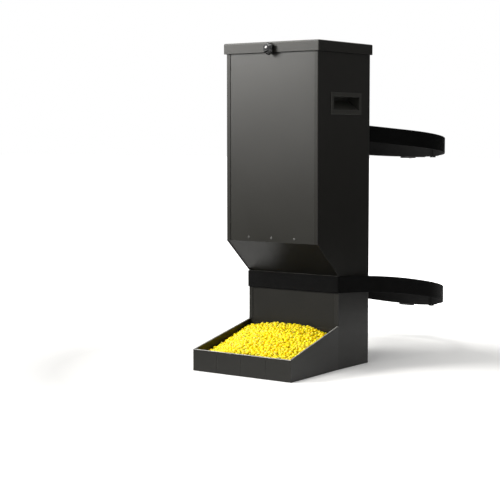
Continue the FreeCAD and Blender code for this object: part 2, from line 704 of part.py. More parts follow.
def lower_slab():
    top, top_ends = lower_strap_arc(STRAP_W / 2)
    bottom, bottom_ends = lower_strap_arc(-STRAP_W / 2)
    wire = Part.Wire([top, Part.LineSegment(top_ends[1], bottom_ends[1]).toShape(), bottom,
                      Part.LineSegment(bottom_ends[0], top_ends[0]).toShape()])
    face = Part.Face(wire)
    face.translate(Vector(-2 * TRUNK_R, 0, 0))
    return face.extrude(Vector(4 * TRUNK_R, 0, 0))


def upper_strap():
    channel = BRACKET_STAND - BRACKET_T - STRAP_CLEAR
    return band(loop_wire(BRACKET_W / 2, channel, TRUNK_R), slab_from_line(upper_slab()))


def lower_strap():
    return band(loop_wire(HALF + STRAP_CLEAR, -NECK_D - STRAP_CLEAR, TRUNK_R), lower_slab())


def ring_sector(r0, r1, angle0, angle1, slab):
    """Part of a ring round the trunk. Angle 0 is straight behind, towards +X is positive."""
    whole = rod(r1, Vector(0, y_at(-TRUNK_BEHIND), 0), UP, LID_TOP_Z).cut(
        rod(r0, Vector(0, y_at(-TRUNK_BEHIND), 0), UP, LID_TOP_Z))
    reach = 2 * r1
    corners = [(0, -TRUNK_BEHIND)] + [
        (reach * sin(radians(a)), -TRUNK_BEHIND - reach * cos(radians(a))) for a in (angle0, angle1)]
    return whole.common(plan_prism(corners, 0, LID_TOP_Z)).common(slab)


def strap_tail(slab):
    """The free end, run through the buckle and laid back over the strap."""
    inner = TRUNK_R + STRAP_T + TAIL_GAP
    return ring_sector(inner, inner + STRAP_T, *TAIL_ANGLES, slab)


def strap_keeper(slab_z):
    """A sleeve that holds the free end down on the strap."""
    r0 = TRUNK_R - STRAP_CLEAR
    r1 = TRUNK_R + 2 * STRAP_T + TAIL_GAP + STRAP_CLEAR
    half = STRAP_W / 2 + KEEPER_SLACK
    outer = Part.makeBox(KEEPER_L, r1 - r0 + 2 * KEEPER_T, 2 * (half + KEEPER_T),
                         Vector(-KEEPER_L / 2, r0 - KEEPER_T, -half - KEEPER_T))
    inner = Part.makeBox(KEEPER_L + 2, r1 - r0, 2 * half, Vector(-KEEPER_L / 2 - 1, r0, -half))
    sleeve = outer.cut(inner)
    sleeve.rotate(Vector(0, 0, 0), UP, -KEEPER_ANGLE)
    sleeve.translate(Vector(0, y_at(-TRUNK_BEHIND), slab_z))
    return sleeve


# -------------------------------------------------------------------- buckles
BASE_OUT = TRUNK_R + STRAP_T + STRAP_CLEAR          # from the trunk's axis
TAIL_OUT = TRUNK_R + 2 * STRAP_T + TAIL_GAP
CAM_OUT = TAIL_OUT + CAM_STRAP_GAP + CAM_TOOTH_R


def at_buckle(shape, z):
    """Moves a buckle piece from the trunk's axis to its strap."""
    shape.translate(Vector(0, y_at(-TRUNK_BEHIND), z))
    return shape


def local_box(x0, x1, out0, out1, z0, z1):
    return Part.makeBox(x1 - x0, out1 - out0, z1 - z0, Vector(x0, out0, z0))


def buckle_frame(z):
    half = BUCKLE_GAP / 2 + CHEEK_T
    base = local_box(-BUCKLE_BASE_L / 2, BUCKLE_BASE_L / 2, BASE_OUT, BASE_OUT + CHEEK_T, -half, half)
    pieces = [base]
    for z0 in (-half, half - CHEEK_T):
        pieces.append(local_box(-CHEEK_L / 2, CHEEK_L / 2, BASE_OUT, BASE_OUT + CHEEK_H + CHEEK_T,
                                z0, z0 + CHEEK_T))
    frame = fuse(pieces).cut(rod(CAM_PIN_R, Vector(0, CAM_OUT, -half - 1), UP, 2 * half + 2))
    return at_buckle(frame, z)


def buckle_pin(z):
    half = BUCKLE_GAP / 2 + CHEEK_T
    shank = rod(CAM_PIN_R, Vector(0, CAM_OUT, -half), UP, 2 * half)
    heads = [rod(CAM_HEAD_R, Vector(0, CAM_OUT, z0), UP, CAM_HEAD_T)
             for z0 in (-half - CAM_HEAD_T, half)]
    return at_buckle(fuse([shank] + heads), z)


def buckle_cam(z):
    """A cam with a row of teeth towards the strap and a lever that lies along it."""
    half = BUCKLE_GAP / 2 - 2 * STRAP_CLEAR
    barrel = rod(CAM_R, Vector(0, CAM_OUT, -half), UP, 2 * half)
    teeth = []
    for angle in CAM_TEETH:
        a = radians(angle)
        tip = Vector(CAM_TOOTH_R * sin(a), CAM_OUT - CAM_TOOTH_R * cos(a), -half)
        side = [Vector(CAM_R * 0.9 * sin(a + s), CAM_OUT - CAM_R * 0.9 * cos(a + s), -half)
                for s in (-CAM_TOOTH_HALF, CAM_TOOTH_HALF)]
        ring = [side[0], tip, side[1], side[0]]
        teeth.append(Part.Face(Part.makePolygon(ring)).extrude(Vector(0, 0, 2 * half)))
    lever = local_box(0, LEVER_L, CAM_OUT + CAM_R - LEVER_T, CAM_OUT + CAM_R, -half, half)
    lever = round_edges(lever, LEVER_T * 2, lambda e: e.BoundBox.XMin > LEVER_L - 1e-4
                        and e.BoundBox.YMax - e.BoundBox.YMin > LEVER_T / 2)
    cam = fuse([barrel, lever] + teeth)
    cam = cam.cut(rod(CAM_PIN_R + CAM_RUN, Vector(0, CAM_OUT, -half - 1), UP, 2 * half + 2))
    reach = SPRING_L / 2 + SPRING_END_GAP
    pocket = local_box(-CAM_R * 2, CAM_R, CAM_OUT - CAM_R * 2, CAM_OUT + CAM_R - LEVER_T,
                       -reach, reach)
    ring = rod(SPRING_R + SPRING_SIDE_GAP, Vector(0, CAM_OUT, -reach), UP, 2 * reach)
    return at_buckle(cam.cut(pocket).cut(ring), z)


def buckle_spring(z):
    """The space of a coiled torsion spring round the pin."""
    start = Vector(0, CAM_OUT, -SPRING_L / 2)
    coil = rod(SPRING_R, start, UP, SPRING_L).cut(rod(CAM_PIN_R + SPRING_PIN_GAP, start, UP, SPRING_L))
    return at_buckle(coil, z)


def strap_z(slab, out):
    """The height of a strap's middle, this far out behind the trunk's axis."""
    probe = rod(0.5, Vector(0, y_at(-TRUNK_BEHIND - out), 0), UP, LID_TOP_Z).common(slab)
    return (probe.BoundBox.ZMin + probe.BoundBox.ZMax) / 2


# ----------------------------------------------------------------- the pieces
os.makedirs("parts", exist_ok=True)

right_side = side_panel()
save("right_side_panel", right_side)
save("left_side_panel", mirror_x(right_side))
save("back_panel", back_panel())
save("front_panel", front_panel())
save("slope_panel", slope_panel())
save("neck_panel", neck_panel())
save("tray_front", tray_front())
save("tray_floor", tray_floor())
save("feed_ramp", feed_ramp())

save("lid", lid())
save("lid_seal", lid_seal())
save("lid_hinge_leaf", lid_hinge_leaf())
save("body_hinge_leaf", body_hinge_leaf())
save("hinge_pin", hinge_pin())

save("latch_nut", latch_nut())
save("latch_washer", latch_washer())
save("latch_stud", latch_stud())
save("latch_knob", latch_knob())

right_cup = handle_cup()
save("right_handle_cup", right_cup)
save("left_handle_cup", mirror_x(right_cup))

save("upper_bracket", tree_bracket(BRACKET_Z[0]))
save("lower_bracket", tree_bracket(BRACKET_Z[1]))

rivet_sets = {
    "front_rivets": (front_rivet_points(), FORWARD, 2 * SHEET),
    "bracket_rivets": (bracket_rivet_points(), BACKWARD, BRACKET_T + SHEET),
    "lid_hinge_rivets": (lid_leaf_points(), BACKWARD, LEAF_T + SHEET),
    "body_hinge_rivets": (body_leaf_points(), BACKWARD, LEAF_T + SHEET),
    "ramp_rivets": (ramp_rivet_points(), BACKWARD, 2 * SHEET),
}
for name, (points, outward, grip) in rivet_sets.items():
    save(name, Part.makeCompound([rivet(point, outward, grip) for point in points]))

slabs = {"upper": slab_from_line(upper_slab()), "lower": lower_slab()}
save("upper_strap", upper_strap())
save("lower_strap", lower_strap())
keepers = []
for name, slab in slabs.items():
    height = strap_z(slab, BASE_OUT)
    save(name + "_strap_tail", strap_tail(slab))
    save(name + "_buckle_frame", buckle_frame(height))
    save(name + "_buckle_cam", buckle_cam(height))
    save(name + "_buckle_pin", buckle_pin(height))
    save(name + "_buckle_spring", buckle_spring(height))
    middle = TRUNK_R + STRAP_T + TAIL_GAP / 2
    keepers.append(strap_keeper(strap_z(slab, middle * cos(radians(KEEPER_ANGLE)))))
save("strap_keepers", Part.makeCompound(keepers))
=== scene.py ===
"""The looks of the gravity game feeder: finishes, webbing, knob, springs, maize, light and camera."""

import json
import math
import random

import bmesh
import bpy
import numpy as np
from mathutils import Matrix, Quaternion, Vector


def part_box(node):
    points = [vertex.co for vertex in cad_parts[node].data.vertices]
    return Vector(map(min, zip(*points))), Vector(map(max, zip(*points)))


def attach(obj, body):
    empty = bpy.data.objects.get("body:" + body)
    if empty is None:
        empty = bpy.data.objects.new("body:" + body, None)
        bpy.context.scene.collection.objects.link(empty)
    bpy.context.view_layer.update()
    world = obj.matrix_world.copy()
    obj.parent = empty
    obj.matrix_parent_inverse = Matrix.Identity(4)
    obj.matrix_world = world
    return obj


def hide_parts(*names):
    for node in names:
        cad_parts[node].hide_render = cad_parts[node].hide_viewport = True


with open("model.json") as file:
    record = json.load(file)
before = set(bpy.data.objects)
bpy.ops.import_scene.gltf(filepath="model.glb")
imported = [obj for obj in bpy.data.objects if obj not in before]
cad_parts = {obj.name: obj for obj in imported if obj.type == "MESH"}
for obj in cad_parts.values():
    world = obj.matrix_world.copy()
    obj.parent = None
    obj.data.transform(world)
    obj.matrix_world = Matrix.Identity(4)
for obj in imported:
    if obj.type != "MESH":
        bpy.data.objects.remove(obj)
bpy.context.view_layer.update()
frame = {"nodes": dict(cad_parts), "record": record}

MM = 0.001
TAU = 2 * math.pi

# ------------------------------------------------------------------ places, from the frame
TRAY_LOW, TRAY_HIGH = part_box("tray_front")
NECK_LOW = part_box("neck_panel")[0]
BACK_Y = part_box("back_panel")[1].y
BODY_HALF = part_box("back_panel")[1].x
LIP_Y = TRAY_LOW.y
NECK_Y = NECK_LOW.y
RIM_FRONT_Z = TRAY_HIGH.z
RIM_NECK_Z = 0.105
SHEET = 0.0012

# Straps. The webbing's route repeats the solids' sizes.
WEB_WIDTH = 0.040
WEB_THICK = 0.002
WEB_BEND_R = 0.003
WEB_GAP = 0.0003             # between the lower strap and the body it goes round
TRUNK_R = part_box("upper_strap")[1].x - WEB_THICK
TRUNK_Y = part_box("upper_strap")[1].y - WEB_THICK - TRUNK_R
UPPER_BEND = Vector((0.095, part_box("upper_strap")[0].y + WEB_THICK, 0))
LOWER_BEND = Vector((BODY_HALF + WEB_GAP, NECK_Y - SHEET - WEB_GAP, 0))

# Camera, fitted to the body's edges
CAMERA_YAW = math.radians(36.48)
CAMERA_PITCH = math.radians(-4.667)
CAMERA_BACK = 3.425
CAMERA_ASIDE = -0.1843
CAMERA_Z = 0.5516
CAMERA_LENS = 98.6

# Studio levels, where 1 is white
KEY_SIDE = (-0.62, -0.62, 0.48)
ROOM_DIM = 0.07
ROOM_BRIGHT = 0.34
ROOM_ABOVE = 1.3
ROOM_DIFFUSE = 0.6
KEY_WATTS = 200.0
TOP_WATTS = 52.0
LAMP_WHITE = (1.0, 0.985, 0.955)
FLOOR_REACH = 30.0
FLOOR_DROP = 0.0004
FLOOR_GLOW_NEAR = 0.12
FLOOR_GLOW_FAR = 1.0
FLOOR_NEAR = 0.55
FLOOR_FAR = 1.15
# Each card: name, near and far end as (metres past the object, metres to the right), bottom, top, grey
CARDS = (("side_card", (-0.9, 0.80), (2.6, 1.35), 0.0, 2.2, 0.12),
         ("low_card", (-1.6, -0.95), (0.9, -0.98), 0.0, 0.45, 0.005))

# Finishes
COAT_SPECULAR = 0.42
SHEEN = 0.05                 # how far the coat's roughness wanders
DUST = (0.20, 0.19, 0.16)
# folded edges are paler partly from wear and partly as a painted highlight
EDGE_WEAR_AND_HIGHLIGHT = (0.16, 0.16, 0.155)
# painted highlight: the pale grey along the tray's and lid's rounded rims stands in for reflected light
RIM_HIGHLIGHT_COLOUR = (0.46, 0.46, 0.44)
RIM_HIGHLIGHT_BELOW = 0.110         # the rims with a painted highlight are the tray's, below this height, and the lid's, above this one
RIM_HIGHLIGHT_ABOVE = 0.760         # and the lid's, above this one
FADE = 0.005
SMALL_EDGE = 0.0006


# ------------------------------------------------------------------ mesh helpers
def add_mesh(name, points, faces, uvs=None, smooth=True):
    """A new mesh object. uvs gives one (u, v) per point."""
    mesh = bpy.data.meshes.new(name)
    mesh.from_pydata([tuple(p) for p in points], [], faces)
    mesh.validate()
    if uvs is not None:
        layer = mesh.uv_layers.new(name="UVMap")
        for loop in mesh.loops:
            layer.data[loop.index].uv = uvs[loop.vertex_index]
    mesh.polygons.foreach_set("use_smooth", [smooth] * len(mesh.polygons))
    piece = bpy.data.objects.new(name, mesh)
    bpy.context.scene.collection.objects.link(piece)
    return piece


def finish_piece(piece, body, material, replaced=()):
    piece.data.materials.clear()
    piece.data.materials.append(material)
    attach(piece, body)
    if replaced:
        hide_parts(*replaced)
    return piece


def paint_node(name, material):
    """Gives a CAD node its finish."""
    node = frame["nodes"][name]
    node.data.materials.clear()
    node.data.materials.append(material)


# ------------------------------------------------------------------ material helpers
class Tree:
    """A material's nodes, built one call at a time."""

    def __init__(self, name):
        self.material = bpy.data.materials.new(name)
        self.material.use_nodes = True
        self.nodes = self.material.node_tree.nodes
        self.links = self.material.node_tree.links
        self.shader = self.nodes["Principled BSDF"]

    def add(self, kind, settings=None, **inputs):
        node = self.nodes.new("ShaderNode" + kind)
        for key, value in (settings or {}).items():
            setattr(node, key, value)
        for key, value in inputs.items():
            self.set(node, key.replace("_", " "), value)
        return node

    def set(self, node, socket, value):
        """Links an output, or sets a plain value."""
        target = node.inputs[int(socket)] if socket.isdigit() else node.inputs[socket]
        if isinstance(value, bpy.types.NodeSocket):
            self.links.new(value, target)
        else:
            target.default_value = value

    def math(self, operation, a, b=0.0):
        node = self.add("Math", {"operation": operation})
        self.set(node, "0", a)
        self.set(node, "1", b)
        return node.outputs[0]

    def noise(self, vector, scale, detail=2.0, roughness=0.5):
        node = self.add("TexNoise", None, Vector=vector, Scale=scale, Detail=detail,
                        Roughness=roughness)
        return node.outputs[0]

    def ramp(self, value, low, high, low_value=0.0, high_value=1.0):
        """Maps a value between two limits to another two, clamped."""
        node = self.add("MapRange", None, Value=value)
        for socket, number in (("From Min", low), ("From Max", high),
                               ("To Min", low_value), ("To Max", high_value)):
            node.inputs[socket].default_value = number
        return node.outputs[0]

    def mix(self, factor, a, b):
        node = self.add("Mix", {"data_type": "RGBA"})
        self.set(node, "0", factor)
        for index, value in ((6, a), (7, b)):
            if isinstance(value, bpy.types.NodeSocket):
                self.links.new(value, node.inputs[index])
            else:
                node.inputs[index].default_value = (*value, 1.0)
        return node.outputs[2]

    def place(self):
        return self.add("TexCoord").outputs["Object"]

    def bump(self, height, distance, strength=1.0, normal=None):
        node = self.add("Bump", None, Height=height, Distance=distance, Strength=strength)
        if normal is not None:
            self.links.new(normal, node.inputs["Normal"])
        return node.outputs[0]

    def rounded_edge(self, radius):
        """The normal over edges rounded by this radius, and how far it keeps to the flat face."""
        rounded = self.add("Bevel", {"samples": 6}, Radius=radius).outputs[0]
        turn = self.add("VectorMath", {"operation": "DOT_PRODUCT"})
        self.links.new(rounded, turn.inputs[0])
        self.links.new(self.add("NewGeometry").outputs["Normal"], turn.inputs[1])
        return rounded, turn.outputs["Value"]

    def shade(self, **inputs):
        for key, value in inputs.items():
            socket = key.replace("_", " ")
            if isinstance(value, tuple) and len(value) == 3:
                value = (*value, 1.0)
            self.set(self.shader, socket, value)
        return self.material


def powder_coat(name, colour, roughness, peel=1.0, wear_and_highlight=0.35, edge=0.0009, rim_highlight=0.0,
                specular=COAT_SPECULAR):
    """Sprayed and baked coating: orange peel, faint mottling, dust on top, folded edges paler from wear and
    a painted highlight, and a painted highlight along rounded rims.
    """
    t = Tree(name)
    place = t.place()
    rounded, flatness = t.rounded_edge(edge)
    at_edge = t.ramp(flatness, 0.999, 0.90)
    broken = t.ramp(t.noise(place, 160.0, 5.0, 0.7), 0.40, 0.62)
    # edges paler partly from wear and partly as a painted highlight
    edge_wear_and_highlight = t.math("MULTIPLY", t.math("MULTIPLY", at_edge, broken), wear_and_highlight)
    mottle = t.noise(place, 9.0, 4.0, 0.6)
    dark = tuple(c * 0.86 for c in colour)
    light = tuple(c * 1.14 for c in colour)
    coat = t.mix(mottle, dark, light)
    upward = t.add("SeparateXYZ", None, Vector=t.add("NewGeometry").outputs["Normal"]).outputs[2]
    facing_up = t.ramp(upward, 0.6, 0.98)
    grit = t.ramp(t.noise(place, 420.0, 3.0, 0.8), 0.5, 0.75)
    patch = t.ramp(t.noise(place, 14.0, 4.0, 0.65), 0.42, 0.7)
    dust = t.math("MULTIPLY", t.math("MULTIPLY", facing_up, grit), t.math("MULTIPLY", patch, 0.25))
    coat = t.mix(dust, coat, DUST)
    coat = t.mix(edge_wear_and_highlight, coat, EDGE_WEAR_AND_HIGHLIGHT)
    # painted highlight along the rounded rims of the tray and the lid, broken up with noise
    paler_edge = t.math("MULTIPLY", t.ramp(upward, 0.30, 0.62), t.ramp(upward, 0.9985, 0.9925))
    level = t.add("SeparateXYZ", None, Vector=place).outputs[2]
    paler_edge = t.math("MULTIPLY", paler_edge, t.math("MAXIMUM", t.ramp(level, RIM_HIGHLIGHT_BELOW + FADE, RIM_HIGHLIGHT_BELOW),
                                               t.ramp(level, RIM_HIGHLIGHT_ABOVE - FADE, RIM_HIGHLIGHT_ABOVE)))
    paler_edge = t.math("MULTIPLY", paler_edge, t.ramp(t.noise(place, 70.0, 4.0, 0.6), 0.3, 0.6, 0.6, 1.0))
    coat = t.mix(t.math("MULTIPLY", paler_edge, rim_highlight), coat, RIM_HIGHLIGHT_COLOUR)
    peel_height = t.noise(place, 640.0, 2.0, 0.5)
    fine = t.noise(place, 2600.0, 1.0, 0.5)
    relief = t.math("ADD", peel_height, t.math("MULTIPLY", fine, 0.35))
    sheen = t.ramp(t.noise(place, 5.0, 3.0, 0.5), 0.0, 1.0, roughness - SHEEN, roughness + SHEEN)
    t.shader.inputs["Specular IOR Level"].default_value = specular
    return t.shade(Base_Color=coat, Roughness=t.math("ADD", sheen, t.math("MULTIPLY", dust, 0.4)),
                   Normal=t.bump(relief, 0.00004 * peel, 1.0, rounded))


def moulded_plastic(name, colour, roughness, grain=0.00003, scale=1500.0):
    t = Tree(name)
    place = t.place()
    cloud = t.noise(place, 60.0, 4.0, 0.6)
    tone = t.mix(cloud, tuple(c * 0.8 for c in colour), tuple(c * 1.25 for c in colour))
    rough = t.ramp(t.noise(place, 90.0, 3.0, 0.6), 0.3, 0.7, roughness * 0.8, roughness * 1.25)
    rounded = t.rounded_edge(SMALL_EDGE)[0]
    return t.shade(Base_Color=tone, Roughness=rough,
                   Normal=t.bump(t.noise(place, scale, 2.0, 0.5), grain, 1.0, rounded))


def plated_steel(name, colour, roughness, wear_colour=None):
    """Plated or oxided steel: mottled, with fine drawn lines and rubbed edges."""
    t = Tree(name)
    place = t.place()
    stretched = t.add("Mapping", None, Vector=place)
    stretched.inputs["Scale"].default_value = (300.0, 2200.0, 2200.0)
    lines = t.noise(stretched.outputs[0], 1.0, 2.0, 0.5)
    cloud = t.noise(place, 140.0, 5.0, 0.65)
    tone = t.mix(cloud, tuple(c * 0.75 for c in colour), tuple(min(c * 1.2, 1.0) for c in colour))
    rounded, flatness = t.rounded_edge(SMALL_EDGE)
    if wear_colour:
        paler_edge = t.math("MULTIPLY", t.ramp(flatness, 0.995, 0.85), t.ramp(cloud, 0.35, 0.6))
        tone = t.mix(paler_edge, tone, wear_colour)
    rough = t.ramp(cloud, 0.3, 0.7, roughness * 0.8, roughness * 1.3)
    return t.shade(Base_Color=tone, Metallic=1.0 if not wear_colour else 0.6, Roughness=rough,
                   Normal=t.bump(lines, 0.00002, 1.0, rounded))


def foam(name):
    """Closed-cell foam: small pits all over."""
    t = Tree(name)
    place = t.place()
    cells = t.add("TexVoronoi", None, Vector=place, Scale=900.0).outputs["Distance"]
    tone = t.mix(cells, (0.016, 0.016, 0.016), (0.04, 0.04, 0.04))
    return t.shade(Base_Color=tone, Roughness=0.95, Normal=t.bump(cells, 0.0003))


def webbing(name):
    """Woven strap, from UVs in metres: u along it, v across it."""
    t = Tree(name)
    uv = t.add("SeparateXYZ", None)
    t.links.new(t.add("TexCoord").outputs["UV"], uv.inputs[0])
    along, across = uv.outputs[0], uv.outputs[1]
    rib_pitch, yarn_pitch = 0.0026, 0.0017
    row = t.math("FLOOR", t.math("DIVIDE", across, yarn_pitch))
    shift = t.math("MULTIPLY", t.math("MODULO", t.math("ABSOLUTE", row), 2.0), 0.5)
    phase = t.math("ADD", t.math("DIVIDE", along, rib_pitch), shift)
    rib = t.math("ABSOLUTE", t.math("SINE", t.math("MULTIPLY", phase, math.pi)))
    yarn = t.math("ABSOLUTE", t.math("SINE", t.math("MULTIPLY", t.math("DIVIDE", across, yarn_pitch),
                                                    math.pi)))
    weave = t.math("MULTIPLY", t.math("POWER", rib, 0.6), t.math("POWER", yarn, 0.5))
    fuzz = t.noise(t.place(), 3200.0, 3.0, 0.7)
    wash = t.noise(t.place(), 22.0, 4.0, 0.6)
    thread = t.mix(weave, (0.0018, 0.0018, 0.0018), (0.0055, 0.0055, 0.0055))
    tone = t.mix(t.ramp(wash, 0.35, 0.75, 0.0, 0.35), thread, (0.008, 0.008, 0.008))
    height = t.math("ADD", weave, t.math("MULTIPLY", fuzz, 0.25))
    t.shader.inputs["Specular IOR Level"].default_value = 0.05
    return t.shade(Base_Color=tone, Roughness=t.ramp(weave, 0.0, 1.0, 0.75, 0.5),
                   Normal=t.bump(height, 0.00035))


def thread_material(name):
    t = Tree(name)
    twist = t.noise(t.place(), 2600.0, 2.0, 0.6)
    return t.shade(Base_Color=t.mix(twist, (0.02, 0.02, 0.02), (0.06, 0.06, 0.06)), Roughness=0.6,
                   Normal=t.bump(twist, 0.0001))


def maize(name):
    """Dry kernels: each its own yellow, paler at the tip, glossy skin with faint creases."""
    t = Tree(name)
    place = t.place()
    own = t.add("NewGeometry").outputs["Random Per Island"]
    tip = t.add("Attribute", {"attribute_name": "tip"}).outputs["Fac"]
    skin = t.mix(own, (0.90, 0.635, 0.002), (0.94, 0.72, 0.006))
    ripe = t.ramp(own, 0.86, 0.93)
    skin = t.mix(t.math("MULTIPLY", ripe, 0.2), skin, (0.88, 0.52, 0.002))
    skin = t.mix(t.ramp(tip, 0.62, 1.0, 0.0, 0.55), skin, (0.98, 0.80, 0.14))
    speck = t.ramp(t.noise(place, 900.0, 3.0, 0.6), 0.35, 0.7, 0.92, 1.04)
    tone = t.add("Mix", {"data_type": "RGBA", "blend_type": "MULTIPLY"})
    t.set(tone, "0", 1.0)
    t.links.new(skin, tone.inputs[6])
    t.links.new(speck, tone.inputs[7])
    crease = t.noise(place, 700.0, 2.0, 0.5)
    t.shader.inputs["Specular IOR Level"].default_value = 0.2
    t.shader.inputs["Subsurface Weight"].default_value = 0.9
    t.shader.inputs["Subsurface Radius"].default_value = (0.0045, 0.0043, 0.0010)
    t.shader.inputs["Subsurface Scale"].default_value = 1.0
    # a cheat, not physics: rays from the sheet round it see it darker, so it tints the sheet less
    path = t.add("LightPath")
    held = t.math("MULTIPLY", t.math("MAXIMUM", path.outputs["Is Diffuse Ray"],
                                     path.outputs["Is Glossy Ray"]),
                  t.ramp(path.outputs["Ray Length"], 0.03, 0.07, 0.0, 0.95))
    final = t.mix(held, tone.outputs[2], (0.03, 0.03, 0.028))
    return t.shade(Base_Color=final, Roughness=0.38, Normal=t.bump(crease, 0.00005))


BODY_BLACK = (0.0200, 0.0194, 0.0166)
MATERIALS = {
    "black_powder_coat": powder_coat("powder_coat_black", BODY_BLACK, 0.31),
    "black_hardware": powder_coat("hardware_black", (0.022, 0.022, 0.021), 0.46, 1.3, 0.7, 0.0006),
    # the handle's paler edges are partly a painted highlight along its bezel
    "moulded_black": powder_coat("handle_black", (0.050, 0.050, 0.044), 0.40, 0.8, 0.5, 0.0007),
    # the rivets' pale grey is partly a painted highlight standing in for the glints on their heads
    "rivet_black": powder_coat("rivet_black", (0.10, 0.10, 0.096), 0.24, 0.6, 0.9, 0.0004),
    "zinc_steel": plated_steel("zinc_steel", (0.55, 0.55, 0.53), 0.34),
    "buckle_metal": plated_steel("buckle_metal", (0.05, 0.05, 0.05), 0.38, (0.34, 0.34, 0.33)),
    "knob_black": moulded_plastic("knob_black", (0.008, 0.008, 0.008), 0.12, 0.000012, 900.0),
    "seal_foam": foam("seal_foam"),
    "black_webbing": webbing("black_webbing"),
    "maize": maize("maize"),
}
STITCH = thread_material("stitching")
# The folded sheets whose rims carry a painted highlight, the lid and the chute have coats of their own
RIM_HIGHLIGHT_COAT = powder_coat("powder_coat_rim_highlight", BODY_BLACK, 0.31, rim_highlight=0.75, specular=0.30)
LID_COAT = powder_coat("powder_coat_lid", BODY_BLACK, 0.37, rim_highlight=0.15, specular=0.32)
# the narrow creases at the chute's top and foot are sharp, and carry almost no pale edge of wear and
# painted highlight
CHUTE_COAT = powder_coat("powder_coat_chute", BODY_BLACK, 0.34, wear_and_highlight=0.1, edge=0.0002, specular=0.22)
OWN_COATS = {"tray_front": RIM_HIGHLIGHT_COAT, "left_side_panel": RIM_HIGHLIGHT_COAT,
             "right_side_panel": RIM_HIGHLIGHT_COAT, "lid": LID_COAT,
             "neck_panel": CHUTE_COAT, "slope_panel": CHUTE_COAT}


def paint_cad_nodes():
    for entry in frame["record"]["subparts"]:
        own = OWN_COATS.get(entry["node"])
        paint_node(entry["node"], own or MATERIALS[entry["material_slot"]])


# ------------------------------------------------------------------ webbing
def loop_route(bend, bend_r, wrap_r, spacing=0.005):
    """A taut loop round two bends and the trunk: (x, y, outward angle) at even steps, from the front."""
    centre = Vector((bend.x - bend_r, bend.y + bend_r))
    trunk = Vector((0.0, TRUNK_Y))
    across = trunk - centre
    heading = math.atan2(across.y, across.x)
    leave = heading - math.acos((bend_r - wrap_r) / across.length)

    def arc(middle, radius, start, end):
        steps = max(2, round(radius * (end - start) / spacing))
        return [(middle.x + radius * math.cos(a), middle.y + radius * math.sin(a), a)
                for a in np.linspace(start, end, steps + 1)]

    def straight(start, end):
        length = math.hypot(end[0] - start[0], end[1] - start[1])
        steps = max(1, round(length / spacing))
        return [(start[0] + (end[0] - start[0]) * i / steps,
                 start[1] + (end[1] - start[1]) * i / steps, start[2]) for i in range(1, steps)]

    corner = arc(centre, bend_r, -math.pi / 2, leave)
    round_trunk = arc(trunk, wrap_r, leave, math.pi / 2)
    front = (0.0, centre.y - bend_r, -math.pi / 2)
    right = [front] + straight(front, corner[0]) + corner + straight(corner[-1], round_trunk[0])
    right += round_trunk
    left = [(-x, y, math.pi - a) for x, y, a in right[-2:0:-1]]
    return right + left


def arc_route(radius, start, end, spacing=0.004):
    """Part of a ring round the trunk, by degrees from straight behind, towards +X."""
    steps = max(2, round(radius * math.radians(end - start) / spacing))
    route = []
    for share in np.linspace(start, end, steps + 1):
        angle = math.pi / 2 - math.radians(share)
        route.append((radius * math.cos(angle), TRUNK_Y + radius * math.sin(angle), angle))
    return route


def upper_height(y):
    """Level in its channel, then falling behind the bracket."""
    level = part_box("upper_strap")[1].z - WEB_WIDTH / 2
    return level - max(0.0, y - UPPER_LEVEL_END) * math.tan(UPPER_FALL)


def lower_height(y):
    """One smooth arc through the strap's height at the chute, the back panel and far round."""
    return LOWER_ARC_Z + math.sqrt(LOWER_ARC_R ** 2 - (y - LOWER_ARC_Y) ** 2)


def circle_through(a, b, c):
    """The centre and radius of the circle through three points (y, z)."""
    ax, ay, bx, by, cx, cy = *a, *b, *c
    d = 2 * (ax * (by - cy) + bx * (cy - ay) + cx * (ay - by))
    sa, sb, sc = ax * ax + ay * ay, bx * bx + by * by, cx * cx + cy * cy
    x = (sa * (by - cy) + sb * (cy - ay) + sc * (ay - by)) / d
    y = (sa * (cx - bx) + sb * (ax - cx) + sc * (bx - ax)) / d
    return x, y, math.hypot(ax - x, ay - y)


UPPER_FALL = math.radians(6.2)
UPPER_LEVEL_END = BACK_Y + 0.014
LOWER_AT_CHUTE = (NECK_Y - SHEET, 0.204)
LOWER_AT_BACK = (BACK_Y, 0.196)
LOWER_FAR_ROUND = (BACK_Y + 0.322, 0.142)
LOWER_ARC_Y, LOWER_ARC_Z, LOWER_ARC_R = circle_through(LOWER_AT_CHUTE, LOWER_AT_BACK, LOWER_FAR_ROUND)


def band_section():
    """Across the webbing: (height, thickness) offsets round a flat oval with beaded edges."""
    half_w, half_t = WEB_WIDTH / 2, WEB_THICK / 2
    side = [(-half_w * 0.5, half_t * 0.9), (0.0, half_t * 0.9), (half_w * 0.5, half_t * 0.9),
            (half_w - 0.0022, half_t * 0.9), (half_w - 0.0012, half_t), (half_w - 0.0004, half_t * 0.8)]
    out = [(-half_w + 0.0004, half_t * 0.8), (-half_w + 0.0012, half_t),
           (-half_w + 0.0022, half_t * 0.9)] + side + [(half_w, 0.0)]
    back = [(w, -t) for w, t in out[-2::-1]] + [(-half_w, 0.0)]
    return out + back


